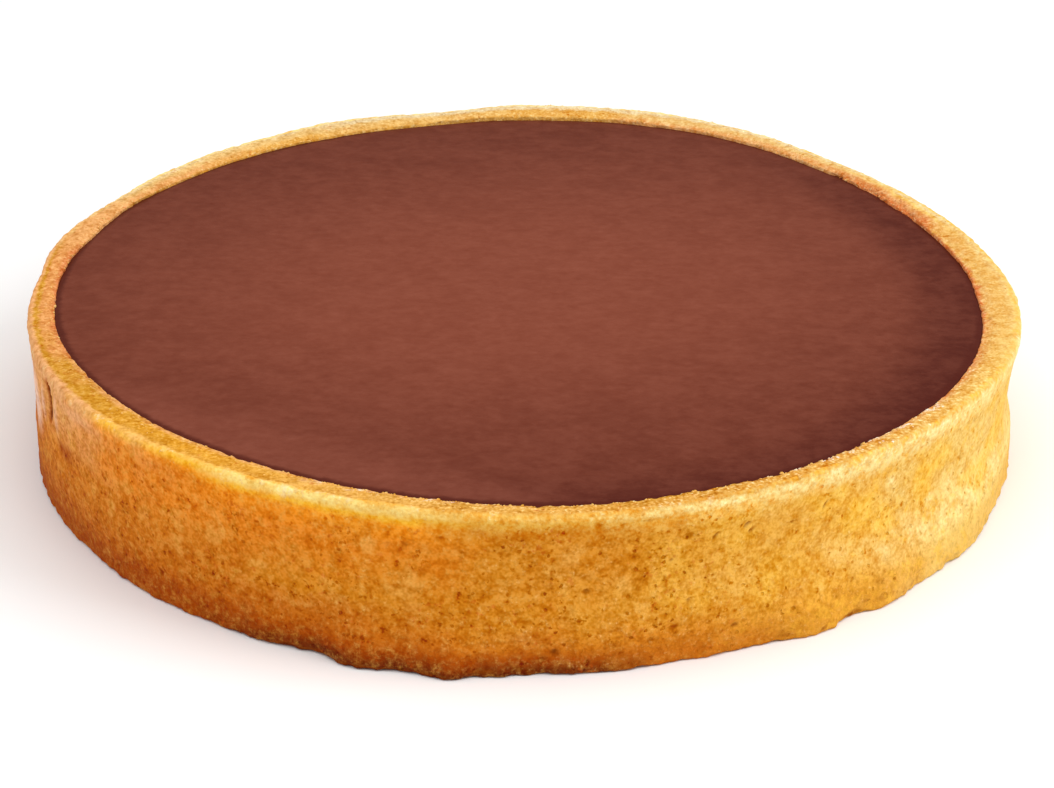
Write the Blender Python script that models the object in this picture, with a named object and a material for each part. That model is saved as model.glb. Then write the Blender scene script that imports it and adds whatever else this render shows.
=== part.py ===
"""Chocolate tart: a shortcrust shell baked in a 12 cm ring, filled level with set chocolate ganache.

The origin is the middle of the flat underside, +Z is up, and the lengths are in metres.
Both pieces are turned shapes that are then made as uneven as rolled dough: the plan outline swells
and pinches in slow waves, the outside wall draws in under the rim, and the trimmed top rises and dips.
"""

import math

import bmesh
import bpy
from mathutils import Matrix, Vector

# Driving dimensions
RIM_RADIUS = 0.0611  # outer edge of the rim, on average
INNER_RADIUS = 0.0573  # inner face of the wall, on average, where the filling meets it
FOOT_RADIUS = 0.0613  # the dough is pressed out a little where the wall meets the tray
SHELL_HEIGHT = 0.0200
BASE_THICKNESS = 0.0035
FILLING_BELOW_RIM = 0.0005  # how far the ganache stops short of the top of the rim
CLEARANCE = 0.0003  # kept between the two solids

# Edges, as radii of their rounding
OUTER_RIM_ROUND = 0.0008
INNER_RIM_ROUND = 0.0005
FOOT_ROUND = 0.0005
CORNER_FILLET = 0.0020  # inside, where the wall meets the base
FILLING_EDGE_ROUND = 0.0004

# Slow waves of the hand-lined dough: how many crests go round, their height, and a crest's angle
OUTER_WAVES = ((2, 0.00041, 53.0), (3, 0.00074, -25.0), (4, 0.00044, -12.0), (5, 0.00048, -6.0))
INNER_WAVES = (
    (1, 0.00055, -100.0),
    (2, 0.00022, 74.0),
    (3, 0.00062, -52.0),
    (4, 0.00029, -12.0),
    (5, 0.00027, -8.0),
)
FOOT_WAVES = ((2, 0.00070, -55.0),)
TRIM_WAVES = ((2, 0.00012, 80.0), (5, 0.00008, 20.0))

# The wall draws in under the rim, most on the +X side and not at all on the -X side, and its inside
# follows, as the dough is rolled to one thickness
WAIST_DEPTH = 0.0012
WAIST_SHARES = ((0.0, 0.0), (0.12, 0.1), (0.3, 0.5), (0.5, 1.0), (0.75, 0.65), (1.0, 0.0))
TRIM_STARTS_AT = 0.7  # share of the height above which the wall follows the trimmed top
FOOT_ENDS_AT = 0.8  # share of the height below which the wall follows the foot

SEGMENTS = 96
ARC_STEPS = 4
MERGE_DISTANCE = 1e-6

CRUST_COLOUR = (0.64, 0.33, 0.07, 1.0)
GANACHE_COLOUR = (0.21, 0.06, 0.036, 1.0)


def clear_scene():
    for old in list(bpy.data.objects):
        bpy.data.objects.remove(old)


def food_material(name, colour, roughness):
    material = bpy.data.materials.new(name)
    material.use_nodes = True
    shader = material.node_tree.nodes["Principled BSDF"]
    shader.inputs["Base Color"].default_value = colour
    shader.inputs["Roughness"].default_value = roughness
    shader.inputs["Metallic"].default_value = 0.0
    return material


def arc(centre_radius, centre_height, radius, start, end):
    """Points (radius, height) along an arc, from start to end in degrees."""
    points = []
    for step in range(ARC_STEPS + 1):
        turn = math.radians(start + (end - start) * step / ARC_STEPS)
        across = centre_radius + radius * math.cos(turn)
        up = centre_height + radius * math.sin(turn)
        points.append((across, up))
    return points


def inside_heights(radius):
    """Points up the inside of the wall, where it bends as it follows the outside."""
    lowest = BASE_THICKNESS + CORNER_FILLET + CLEARANCE
    heights = [SHELL_HEIGHT * share for share, _ in WAIST_SHARES]
    return [(radius, height) for height in heights if lowest < height < SHELL_HEIGHT]


def shell_profile():
    """Half section of the shell: underside, outer wall, rim, inner wall, then the top of the base."""
    top = SHELL_HEIGHT
    foot = arc(FOOT_RADIUS - FOOT_ROUND, FOOT_ROUND, FOOT_ROUND, -90, 0)
    wall = [(RIM_RADIUS, top * share) for share, _ in WAIST_SHARES[1:-1]]
    inner_wall = inside_heights(INNER_RADIUS)[::-1]
    outer_rim = arc(RIM_RADIUS - OUTER_RIM_ROUND, top - OUTER_RIM_ROUND, OUTER_RIM_ROUND, 0, 90)
    inner_rim = arc(INNER_RADIUS + INNER_RIM_ROUND, top - INNER_RIM_ROUND, INNER_RIM_ROUND, 90, 180)
    corner = arc(
        INNER_RADIUS - CORNER_FILLET, BASE_THICKNESS + CORNER_FILLET, CORNER_FILLET, 0, -90
    )
    outside = [(0.0, 0.0), *foot, *wall, *outer_rim]
    return [*outside, *inner_rim, *inner_wall, *corner, (0.0, BASE_THICKNESS)]


def filling_profile():
    """Half section of the ganache, which fills the shell to just under the rim."""
    bottom = BASE_THICKNESS + CLEARANCE
    top = SHELL_HEIGHT - FILLING_BELOW_RIM
    edge = INNER_RADIUS - CLEARANCE
    corner = arc(edge - CORNER_FILLET, bottom + CORNER_FILLET, CORNER_FILLET, -90, 0)
    rounded = arc(edge - FILLING_EDGE_ROUND, top - FILLING_EDGE_ROUND, FILLING_EDGE_ROUND, 0, 90)
    return [(0.0, bottom), *corner, *inside_heights(edge), *rounded, (0.0, top)]


def wave_height(waves, angle):
    return sum(
        height * math.cos(crests * (angle - math.radians(crest))) for crests, height, crest in waves
    )


def waist(height, angle):
    """How far the wall draws in at this height and angle."""
    share = min(max(height / SHELL_HEIGHT, 0.0), 1.0)
    for (low, depth_low), (high, depth_high) in zip(WAIST_SHARES, WAIST_SHARES[1:]):
        if share <= high:
            between = (share - low) / (high - low)
            depth = depth_low + (depth_high - depth_low) * between
            return WAIST_DEPTH * depth * (1 + math.cos(angle)) / 2
    return 0.0


def made_uneven(point, follows_trim):
    """Moves a point of a turned body to where the hand-lined dough has it."""
    radius = math.hypot(point.x, point.y)
    if radius < MERGE_DISTANCE:
        return point.copy()
    angle = math.atan2(point.y, point.x)
    wall_share = min(max((radius - INNER_RADIUS) / (RIM_RADIUS - INNER_RADIUS), 0.0), 1.0)
    inner = wave_height(INNER_WAVES, angle) * min(radius / INNER_RADIUS, 1.0)
    foot_share = max(1 - point.z / (SHELL_HEIGHT * FOOT_ENDS_AT), 0.0)
    outer = wave_height(OUTER_WAVES, angle) + wave_height(FOOT_WAVES, angle) * foot_share
    drawn_in = waist(point.z, angle) * min(radius / INNER_RADIUS, 1.0)
    moved_radius = radius + inner * (1 - wall_share) + outer * wall_share - drawn_in
    height = point.z
    if follows_trim:
        trim_start = SHELL_HEIGHT * TRIM_STARTS_AT
        trim_share = max((point.z - trim_start) / (SHELL_HEIGHT - trim_start), 0.0)
        height += wave_height(TRIM_WAVES, angle) * trim_share
    return Vector((moved_radius * math.cos(angle), moved_radius * math.sin(angle), height))


def turned_piece(name, profile, material, follows_trim):
    """Spins a half section round the Z axis into one closed body, then makes it uneven."""
    shape = bmesh.new()
    corners = [shape.verts.new((radius, 0.0, height)) for radius, height in profile]
    edges = [shape.edges.new(pair) for pair in zip(corners, corners[1:])]
    bmesh.ops.spin(
        shape,
        geom=corners + edges,
        cent=(0.0, 0.0, 0.0),
        axis=(0.0, 0.0, 1.0),
        angle=math.tau,
        steps=SEGMENTS,
        use_merge=True,
    )
    bmesh.ops.remove_doubles(shape, verts=shape.verts, dist=MERGE_DISTANCE)
    for vertex in shape.verts:
        vertex.co = made_uneven(vertex.co, follows_trim)
    bmesh.ops.recalc_face_normals(shape, faces=shape.faces)

    mesh = bpy.data.meshes.new(name)
    shape.to_mesh(mesh)
    shape.free()
    mesh.materials.append(material)
    mesh.shade_smooth()
    mesh.set_sharp_from_angle(angle=math.radians(50))

    piece = bpy.data.objects.new(name, mesh)
    bpy.context.scene.collection.objects.link(piece)
    piece.matrix_world = Matrix.Identity(4)
    return piece


def main():
    clear_scene()
    crust = food_material("baked_shortcrust", CRUST_COLOUR, 0.75)
    ganache = food_material("chocolate_ganache", GANACHE_COLOUR, 0.45)
    turned_piece("shell", shell_profile(), crust, follows_trim=True)
    turned_piece("filling", filling_profile(), ganache, follows_trim=False)


main()
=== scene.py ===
import math

import bpy
import numpy as np
from mathutils import Matrix, Vector, noise


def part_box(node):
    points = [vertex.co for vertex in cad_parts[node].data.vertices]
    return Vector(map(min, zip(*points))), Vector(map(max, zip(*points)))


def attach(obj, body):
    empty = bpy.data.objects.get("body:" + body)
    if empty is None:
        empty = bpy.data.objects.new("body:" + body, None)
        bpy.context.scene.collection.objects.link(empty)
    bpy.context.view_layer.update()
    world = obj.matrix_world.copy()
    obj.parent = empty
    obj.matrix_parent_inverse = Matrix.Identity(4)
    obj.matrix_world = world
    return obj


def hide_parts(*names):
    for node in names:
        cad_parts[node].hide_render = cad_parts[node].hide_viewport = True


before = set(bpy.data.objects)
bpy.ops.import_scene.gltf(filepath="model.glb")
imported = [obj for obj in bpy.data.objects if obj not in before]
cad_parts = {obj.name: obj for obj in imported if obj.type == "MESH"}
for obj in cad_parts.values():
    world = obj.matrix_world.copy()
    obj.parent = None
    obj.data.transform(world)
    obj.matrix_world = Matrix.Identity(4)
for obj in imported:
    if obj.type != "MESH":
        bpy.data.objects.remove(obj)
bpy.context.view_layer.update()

# --- Pastry case ----------------------------------------------------------------------------------
# One sheet of sweet shortcrust, rolled about 4 mm thick and lined by hand into a 12 cm ring, 2 cm high.
# It is baked on a tray until golden, browner at the foot, and its top is trimmed level with a knife,
# which leaves an open crumb face.

MM = 0.001
RIM_RADIUS = 61.1 * MM
INNER_RADIUS = 57.3 * MM
FOOT_RADIUS = 61.3 * MM
CASE_HEIGHT = 20.0 * MM
BASE_THICKNESS = 3.5 * MM
FOOT_ROUND = 0.3 * MM
EDGE_WIDTH = 0.6 * MM  # the rounded outer edge is taller than it is wide
EDGE_HEIGHT = 1.2 * MM
INNER_RIM_ROUND = 0.3 * MM
INSIDE_CORNER = 2.0 * MM
LIP_DEPTH = 1.3 * MM  # how far down the inside the fine crumb goes, past the ganache's edge
CASE_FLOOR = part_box("shell")[0].z

STEPS_ROUND = 1120
COARSE = 4  # hidden stretches have a quarter of the steps
CRUMB_STEP = 0.345 * MM  # up the shown skin
HIDDEN_STEP = 4 * MM  # down the hidden inside


def rounding(middle, start, end, steps, wide, tall=None):
    """Half-section points of an edge rounded about a middle, from start to end in degrees."""
    radius, height = middle
    tall = tall or wide
    turns = np.radians(np.linspace(start, end, steps + 1))
    return [(radius + wide * math.cos(turn), height + tall * math.sin(turn)) for turn in turns]


def straight(start, end, step):
    """Half-section points between two corners, both left out."""
    count = max(round(math.dist(start, end) / step), 1)
    way = np.array(end) - start
    return [tuple(start + way * part / count) for part in range(1, count)]


foot = rounding((FOOT_RADIUS - FOOT_ROUND, FOOT_ROUND), -90, 0, 2, FOOT_ROUND)
outer_middle = (RIM_RADIUS - EDGE_WIDTH, CASE_HEIGHT - EDGE_HEIGHT)
outer_edge = rounding(outer_middle, 0, 90, 6, EDGE_WIDTH, EDGE_HEIGHT)
inner_middle = (INNER_RADIUS + INNER_RIM_ROUND, CASE_HEIGHT - INNER_RIM_ROUND)
inner_edge = rounding(inner_middle, 90, 180, 2, INNER_RIM_ROUND)
lip_end = (INNER_RADIUS, CASE_HEIGHT - LIP_DEPTH)
wall = straight(foot[-1], outer_edge[0], CRUMB_STEP)
cut = straight(outer_edge[-1], inner_edge[0], CRUMB_STEP)
lip = [*straight(inner_edge[-1], lip_end, CRUMB_STEP), lip_end]
section = np.array([*foot, *wall, *outer_edge, *cut, *inner_edge, *lip])
edge_from = len(foot) + len(wall)
cut_from = edge_from + len(outer_edge) - 1
cut_to = cut_from + len(cut) + 2  # the middle of the rounded inner edge

# Hand-lined dough strays from a circle: how many crests go round, their height in mm, a crest's angle
OUTER_WAVES = ((2, 0.41, 53.0), (3, 0.74, -25.0), (4, 0.44, -12.0), (5, 0.48, -6.0))
INNER_WAVES = (
    (1, 0.55, -100.0), (2, 0.22, 74.0), (3, 0.62, -52.0), (4, 0.29, -12.0), (5, 0.27, -8.0),
)
FOOT_WAVES = ((2, 0.70, -55.0),)
TRIM_WAVES = ((2, 0.12, 80.0), (5, 0.08, 20.0))
WAIST_DEPTH = 1.2 * MM  # the wall draws in under the rim, most on the +X side
WAIST_HEIGHTS = (0.0, 0.12, 0.3, 0.5, 0.75, 1.0)
WAIST_SHARES = (0.0, 0.1, 0.5, 1.0, 0.65, 0.0)
TRIM_STARTS_AT = 0.7  # shares of the height
FOOT_ENDS_AT = 0.8

# Short stretches that stray more: the angle of the middle, half the width in degrees, and mm outwards
FOOT_STRAYS = (
    (-147, 14, -0.5), (-118, 7, 0.4), (-107, 5, 1.1), (-101, 11, 0.7), (-97, 3, 0.8), (-88, 4, -0.6),
    (-78, 5, 0.6), (-75, 15, -1.1), (-64, 6, -0.4), (-56, 5, 0.65), (-51, 4, -0.3), (-46, 6, 0.7),
    (-30, 9, 0.35), (-17, 17, -0.75), (70, 9, 0.6), (110, 7, -0.7), (150, 8, 0.5),
)
WALL_STRAYS = ((-170, 15, -0.7), (-8, 12, -0.3))
INNER_STRAYS = (
    (-172, 8, -0.2), (-149, 18, -0.45), (-112, 10, 0.15), (-88, 8, 0.15), (-70, 9, -0.55), (-50, 8, -0.15),
    (-33, 10, 0.1), (-3, 8, -0.25), (46, 9, -0.3), (65, 7, 0.15), (86, 9, -0.25), (104, 10, -0.45),
    (125, 8, 0.15), (145, 10, -0.25), (165, 9, -0.3),
)
RIM_STRAYS = (
    (-172, 10, 0.15), (20, 18, 0.3), (47, 11, -0.4), (66, 12, 0.15), (86, 8, -0.25), (101, 11, -1.35),
    (118, 9, 0.75), (134, 9, 0.3), (153, 9, -0.35), (169, 12, 0.85),
)
# The heights between which each of them starts or ends
FOOT_STRAYS_END = (0.5 * MM, 7 * MM)
WALL_STRAYS_START = (6 * MM, 13 * MM)
WALL_STRAYS_END = (16.5 * MM, 19.5 * MM)
RIM_STRAYS_START = (9 * MM, 17 * MM)


def waves(crests, angle):
    """Slow waves round the tart, in metres."""
    return sum(
        height * MM * np.cos(count * (angle - math.radians(crest)))
        for count, height, crest in crests
    )


def stretch(low, high, values):
    """0 under low, 1 over high, and smooth between. Where low is the larger, it falls."""
    share = np.clip((values - low) / (high - low), 0, 1)
    return share * share * (3 - 2 * share)


def round_from(middle, angle):
    """How far round an angle lies from a middle one, by the shorter way."""
    return np.angle(np.exp(1j * (angle - middle)))


def strays(places, angle):
    """The stretches of a table round the tart, in metres."""
    total = 0
    for middle, half_width, height in places:
        off = np.degrees(round_from(math.radians(middle), angle)) / half_width
        total = total + height * MM * np.clip(1 - off * off, 0, 1) ** 2
    return total


def waist(height, angle):
    """How far the wall draws in at a height."""
    depth = WAIST_DEPTH * np.interp(height / CASE_HEIGHT, WAIST_HEIGHTS, WAIST_SHARES)
    return depth * (1 + np.cos(angle)) / 2


def lined(radius, height, angle):
    """The radius and height at which the hand-lined dough has a point of the half-section."""
    share = height / CASE_HEIGHT
    through_wall = np.clip((radius - INNER_RADIUS) / (RIM_RADIUS - INNER_RADIUS), 0, 1)
    reach = np.minimum(radius / INNER_RADIUS, 1)
    outer = waves(OUTER_WAVES, angle)
    outer = outer + waves(FOOT_WAVES, angle) * np.clip(1 - share / FOOT_ENDS_AT, 0, None)
    outer = outer + strays(FOOT_STRAYS, angle) * (1 - stretch(*FOOT_STRAYS_END, height))
    under_rim = stretch(*WALL_STRAYS_START, height) * (1 - stretch(*WALL_STRAYS_END, height))
    outer = outer + strays(WALL_STRAYS, angle) * under_rim
    outer = outer + strays(RIM_STRAYS, angle) * stretch(*RIM_STRAYS_START, height)
    inner = (waves(INNER_WAVES, angle) + strays(INNER_STRAYS, angle)) * reach
    trim = np.clip((share - TRIM_STARTS_AT) / (1 - TRIM_STARTS_AT), 0, None)
    return (
        radius + inner * (1 - through_wall) + outer * through_wall - waist(height, angle) * reach,
        CASE_FLOOR + height + waves(TRIM_WAVES, angle) * trim,
    )


angles = np.linspace(-math.pi, math.pi, STEPS_ROUND, endpoint=False)
run = np.concatenate([[0], np.cumsum(np.linalg.norm(np.diff(section, axis=0), axis=1))])
across, up = lined(section[:, :1], section[:, 1:], angles[None])
along = np.gradient(section, axis=0)
along /= np.linalg.norm(along, axis=1, keepdims=True)
outward = np.stack([along[:, 1], -along[:, 0]], 1)  # away from the dough, in the half-section
skin = np.stack([across * np.cos(angles), across * np.sin(angles), up], 2)


def grain(size, shift):
    """Noise from -1 to 1 at every point of the case, in lumps about this size.

    The shift keeps one grain's lumps from lying on another's.
    """
    places = (skin.reshape(-1, 3) / size + shift).tolist()
    return np.array([noise.noise(place) for place in places]).reshape(across.shape)


# Baked crumb is a mass of fine grains. The wall swells and sinks where the dough stuck to the ring, its
# foot spreads in small flakes, the cut face is rough, and its inner edge crumbles.
rows = np.arange(len(section))[:, None]
on_cut = 1.0 * ((rows >= cut_from) & (rows < cut_to))
on_lip = 1.0 * (rows >= cut_to)
on_wall = 1 - on_cut - on_lip
on_edge = 1.0 * ((rows >= edge_from) & (rows < cut_from + 2))
high = section[:, 1:]
near_foot = 1 - stretch(0.2 * MM, 2.0 * MM, high)
near_top = stretch(15.5 * MM, 18 * MM, high)
inner_strip = stretch(run[cut_to] - 1.3 * MM, run[cut_to] - 0.2 * MM, run[:, None])

broad = grain(8 * MM, 3.1)
middling = grain(3.1 * MM, 7.7)
small = grain(1.25 * MM, 1.9)
fine = grain(0.7 * MM, 5.3)
neat = stretch(-1.7, -2.1, angles[None]) * stretch(-3.1, -2.7, angles[None])  # the front left
ragged = stretch(-0.3, 0.4, grain(9 * MM, 8.8))  # some stretches crumble more than others
ragged *= 1 - 0.7 * neat


def grained(broad_height, middling_height, small_height, fine_height):
    """The four grains together, each this high in mm."""
    coarser = broad_height * broad + middling_height * middling
    return coarser + small_height * small + fine_height * fine


EDGE_SINKS = 0.2  # mm that the crumbling inner edge has lost
relief = on_wall * grained(0.12, 0.09, 0.05, 0.06)
relief *= 1 - 0.3 * near_top
relief += on_edge * grained(0, 0, 0.05, 0.07)
relief += on_cut * grained(0, 0.05, 0.05, 0.06)
relief += inner_strip * (grained(0, 0.06, 0.09, 0.09) * (0.4 + ragged) - EDGE_SINKS)
relief += near_foot * grained(0, 0.16, 0.06 + 0.14 * ragged, 0.06)
relief *= MM
pits = np.zeros_like(relief)
scorched = np.zeros_like(relief)
pale = np.zeros_like(relief)


def dab(layer, angle, place, wide, tall, amount):
    """Adds a rounded spot to one layer of the skin. wide and tall are its half-sizes in metres."""
    first, last = np.searchsorted(run, (place - tall, place + tall))
    off = (round_from(angle, angles[None]) * across[first:last] / wide) ** 2
    off = off + ((run[first:last, None] - place) / tall) ** 2
    layer[first:last] += amount * np.clip(1 - off, 0, 1) ** 1.5


# Pits of the open crumb in the wall, dented and painted darker as painted shade in the hollow
PIT_COUNT = 900
PIT_SMALLEST, PIT_SPREAD = 0.26, 0.5  # half-sizes in mm
PIT_RARITY = 5  # the higher, the fewer are large
PITS_LOW = 1.15  # the higher, the more lie low on the wall
PIT_WIDTHS = (0.8, 1.8)  # as shares of the size, and so are the depths
PIT_DEPTHS = (0.2, 0.45)
PIT_SHADES = (0.1, 0.9)
dice = np.random.default_rng(41)
for _ in range(PIT_COUNT):
    size = (PIT_SMALLEST + PIT_SPREAD * dice.random() ** PIT_RARITY) * MM
    angle = dice.uniform(-math.pi, math.pi)
    place = run[edge_from] * dice.random() ** PITS_LOW
    spot = (angle, place, size * dice.uniform(*PIT_WIDTHS), size)
    dab(relief, *spot, -size * dice.uniform(*PIT_DEPTHS))
    dab(pits, *spot, dice.uniform(*PIT_SHADES))

# Chips out of the inner edge of the cut, closest together where it broke as the tart was trimmed. Each is
# dented and painted darker as painted shade in the hollow.
CHIP_COUNT = 150
CHIP_SMALLEST, CHIP_LARGEST, BROKEN_LARGER = 0.35, 0.6, 0.4  # half-sizes in mm
CHIP_PLACES = (-0.5, 0.3)  # mm past the edge
CHIP_WIDTHS = (0.7, 1.6)  # as shares of the size, and so are the depths
CHIP_DEPTHS = (0.2, 0.5)
BROKEN_MIDDLE, BROKEN_SPREAD = math.radians(30), math.radians(5)
for number in range(CHIP_COUNT):
    broken = number % 4 == 0
    size = dice.uniform(CHIP_SMALLEST, CHIP_LARGEST + BROKEN_LARGER * broken) * MM
    angle = dice.normal(BROKEN_MIDDLE, BROKEN_SPREAD) if broken else dice.uniform(-math.pi, math.pi)
    place = run[cut_to] + dice.uniform(*CHIP_PLACES) * MM
    wide = size * dice.uniform(*CHIP_WIDTHS)
    dab(relief, angle, place, wide, size, -size * dice.uniform(*CHIP_DEPTHS))
    dab(pits, angle, place, size, size * 0.8, dice.uniform(0.0, 0.5 + 0.5 * broken))

# Marks of the bake on the outside: angle in degrees, height, half-sizes round and up, and depth in mm,
# and how scorched they are
BAKE_MARKS = (
    (-149.6, 11.6, 3.4, 1.9, 0.10, 0.85),
    (-147.0, 12.8, 3.0, 1.0, 0.05, 0.35),
    (-101.8, 15.7, 0.9, 0.6, 0.10, 0.6),
    (-103.5, 15.4, 0.6, 0.5, 0.10, 0.5),
    (-86.2, 3.0, 0.8, 0.8, 0.30, 0.9),
    (-87.4, 2.2, 0.6, 0.5, 0.20, 0.7),
    (-83.0, 10.3, 0.7, 0.6, 0.28, 0.7),
    (-87.0, 11.2, 1.4, 1.1, 0.05, 0.3),
    (-72.0, 7.9, 0.5, 0.5, 0.28, 0.7),
    (-66.6, 3.6, 0.8, 0.5, 0.30, 0.8),
    (-73.8, 15.4, 0.4, 0.4, 0.25, 0.7),
    (-74.0, 13.2, 0.4, 0.4, 0.25, 0.7),
    (-127.5, 8.0, 0.6, 0.5, 0.22, 0.4),
    (-114.6, 0.5, 1.7, 0.6, 0.20, 1.2),
    (-113.5, 0.2, 5.0, 0.6, 0.03, 1.3),
    (-106.0, 0.2, 5.0, 0.6, 0.05, 1.5),
    (-99.5, 0.2, 4.0, 0.6, 0.03, 1.4),
    (-93.5, 0.9, 2.4, 0.5, 0.12, 1.0),
    (-56.0, 0.6, 0.8, 0.4, 0.15, 0.8),
    (-49.5, 1.6, 1.0, 0.4, 0.15, 0.6),
    (-60.5, 0.8, 1.8, 0.6, 0.12, 0.55),
    (-51.3, 0.5, 2.4, 0.5, 0.15, 1.0),
    (-47.0, 1.3, 2.2, 0.7, 0.12, 0.45),
    (-41.5, 0.8, 1.8, 0.7, 0.15, 0.45),
    (-35.5, 0.9, 2.2, 0.9, 0.15, 0.40),
    (-28.0, 0.9, 1.6, 0.9, 0.15, 0.35),
    (-59.0, 5.4, 0.8, 0.4, 0.18, 0.4),
    (60.0, 6.0, 0.8, 0.6, 0.25, 0.7),
    (140.0, 12.0, 0.7, 0.6, 0.25, 0.6),
)
for angle, height, wide, tall, depth, scorching in BAKE_MARKS:
    spot = (math.radians(angle), height * MM, wide * MM, tall * MM)
    dab(relief, *spot, -depth * MM)
    dab(scorched, *spot, scorching)

# Paler places: angle in degrees, height and half-sizes round and up in mm, paleness, and lift in mm. The
# first four are a blistered patch on the -X side and its raised rim, painted pale as a glossy reflection
# with painted highlights along the rim. The next four are raised nodules whose paleness is partly painted
# glints, and the others dry floury spots.
PALE_AND_GLINT_MARKS = (
    (-160.5, 14.0, 6.0, 6.8, 0.95, 0.30),
    (-155.2, 15.8, 1.3, 3.8, 0.6, 0.16),
    (-150.9, 15.8, 1.1, 3.8, 0.5, 0.14),
    (-145.0, 18.2, 9.0, 1.6, 0.3, 0.04),
    (-45.2, 15.0, 1.0, 0.9, 0.7, 0.10),
    (-37.9, 10.0, 1.5, 1.0, 0.8, 0.12),
    (-29.6, 6.9, 1.3, 0.9, 1.0, 0.20),
    (-28.2, 5.7, 0.9, 0.8, 0.9, 0.18),
    (-79.0, 11.5, 2.6, 1.8, 0.15, 0.05),
    (-90.0, 5.0, 2.8, 2.0, 0.15, 0.05),
    (-51.0, 12.0, 2.4, 1.8, 0.15, 0.05),
)
for angle, height, wide, tall, paleness, lift in PALE_AND_GLINT_MARKS:
    spot = (math.radians(angle), height * MM, wide * MM, tall * MM)
    dab(relief, *spot, lift * MM)
    dab(pale, *spot, paleness)

# Cracks: the middle's angle and height, length, tilt in degrees, bow, half width, and strength. Heights
# and lengths are in mm. A crack of strength 1 is CRACK_DEPTH mm deep.
CRACKS = (
    (-154.0, 16.4, 5.4, 92, -1.4, 0.75, 2.40),
    (-76.5, 18.6, 3.6, 4, 0.1, 0.30, 0.30),
    (-69.0, 15.2, 1.5, 42, 0.1, 0.36, 0.20),
    (-65.2, 15.5, 1.2, 20, 0.3, 0.36, 0.20),
    (-64.6, 14.7, 1.2, 35, 0.3, 0.36, 0.20),
    (-55.0, 15.4, 1.6, 42, 0.1, 0.36, 0.20),
    (-59.5, 14.4, 1.0, -10, 0.1, 0.36, 0.12),
    (-80.0, 5.2, 2.4, 10, 0.2, 0.30, 0.25),
    (-62.0, 2.1, 3.0, 8, 0.2, 0.30, 0.25),
    (-40.0, 1.5, 4.0, -6, 0.3, 0.30, 0.25),
    (35.0, 3.0, 5.0, 5, 0.4, 0.35, 0.40),
    (120.0, 2.0, 4.0, -4, 0.3, 0.40, 0.40),
)
CRACK_STEPS = 16
CRACK_DEPTH = 0.3
CRACK_CLOSES = 0.8  # how much of its opening a crack has lost at its ends
# Each crack is dented and also painted dark along its length, as painted shade in the gap
for angle, height, length, tilt, bow, width, strength in CRACKS:
    lean = math.radians(tilt)
    for share in np.linspace(-0.5, 0.5, CRACK_STEPS):
        on = share * length
        off = bow * (1 - 4 * share * share)
        open_by = 1 - 4 * CRACK_CLOSES * share * share
        aside = on * math.cos(lean) - off * math.sin(lean)
        rise = on * math.sin(lean) + off * math.cos(lean)
        turn = math.radians(angle) + aside * MM / RIM_RADIUS
        spot = (turn, (height + rise) * MM, width * MM, width * MM)
        dab(relief, *spot, -strength * open_by * CRACK_DEPTH * MM)
        dab(scorched, *spot, strength * open_by)

across += outward[:, :1] * relief
up = np.maximum(up + outward[:, 1:] * relief, CASE_FLOOR)

# The shown skin is one fine grid. The underside and the hidden inside have fewer steps round. The map
# that the finish is kept on gives most of its room to the skin, which lies on it in four strips.
STRIPS = 4
STRIPS_HIGH = 0.75  # the strips' share of the map's height
MAP_MARGIN = 0.004
UNDER_DISC = (0.13, 0.875, 0.115)  # the middle and the radius on the map
INSIDE_DISC = (0.40, 0.875, 0.115)

points = [*np.stack([across * np.cos(angles), across * np.sin(angles), up], 2).reshape(-1, 3)]
grid = np.arange(len(section) * STEPS_ROUND).reshape(-1, STEPS_ROUND)
after = np.roll(grid, -1, axis=1)
faces = np.stack([grid[:-1], after[:-1], after[1:], grid[1:]], 2).reshape(-1, 4).tolist()

strip, place = np.divmod(np.arange(STEPS_ROUND), STEPS_ROUND // STRIPS)
sides = MAP_MARGIN + (1 - 2 * MAP_MARGIN) * np.stack([place, place + 1]) * STRIPS / STEPS_ROUND
rise = MAP_MARGIN + (1 - 2 * MAP_MARGIN) * run[:, None] / run[-1]
rise = (strip + rise) * STRIPS_HIGH / STRIPS
left, right = np.broadcast_to(sides[:, None], (2, len(section) - 1, STEPS_ROUND))
low, top = rise[:-1], rise[1:]
corners = [*np.stack([left, low, right, low, right, top, left, top], 2).reshape(-1, 2)]


def spots_on(disc, share, turns):
    """Where a ring lies on the map, as a circle round the middle of a disc."""
    return np.array(disc[:2]) + disc[2] * share * np.stack([np.cos(turns), np.sin(turns)], 1)


def bridge(faces, corners, far, near, flip):
    """Joins a ring of points to the next one, which may have fewer points or be a single one.

    far and near are each the ring's point numbers and their spots on the map.
    """
    ring, spots = far
    next_ring, next_spots = near
    shared = len(ring) // len(next_ring) if len(next_ring) > 1 else 1
    for step in range(len(ring) // shared):
        outer = [(step * shared + part) % len(ring) for part in range(shared + 1)]
        inner = [(step + 1) % len(next_ring), step] if len(next_ring) > 1 else [0]
        face = [int(one) for one in (*ring[outer], *next_ring[inner])]
        spot = [*spots[outer], *next_spots[inner]]
        faces.append(face[::-1] if flip else face)
        corners.extend(spot[::-1] if flip else spot)


def close_off(edge, stops, disc, flip):
    """Closes the case from a fine ring of its grid, by coarse rings at half-section points."""
    way = np.linalg.norm(np.diff([section[edge], *stops], axis=0), axis=1)
    shares = 1 - np.cumsum(way) / way.sum()
    previous = (grid[edge], spots_on(disc, 1, angles))
    for (radius, height), share in zip(stops, shares):
        turns = angles[::COARSE] if radius > 0 else angles[:1]
        out, rise = lined(np.array(radius), np.array(height), turns)
        ring = np.arange(len(points), len(points) + len(turns))
        points.extend(np.stack([out * np.cos(turns), out * np.sin(turns), rise], 1))
        if radius == 0:
            points[-1][:2] = 0  # the last ring is one point, on the axis
        following = (ring, spots_on(disc, share, turns))
        bridge(faces, corners, previous, following, flip)
        previous = following


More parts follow.
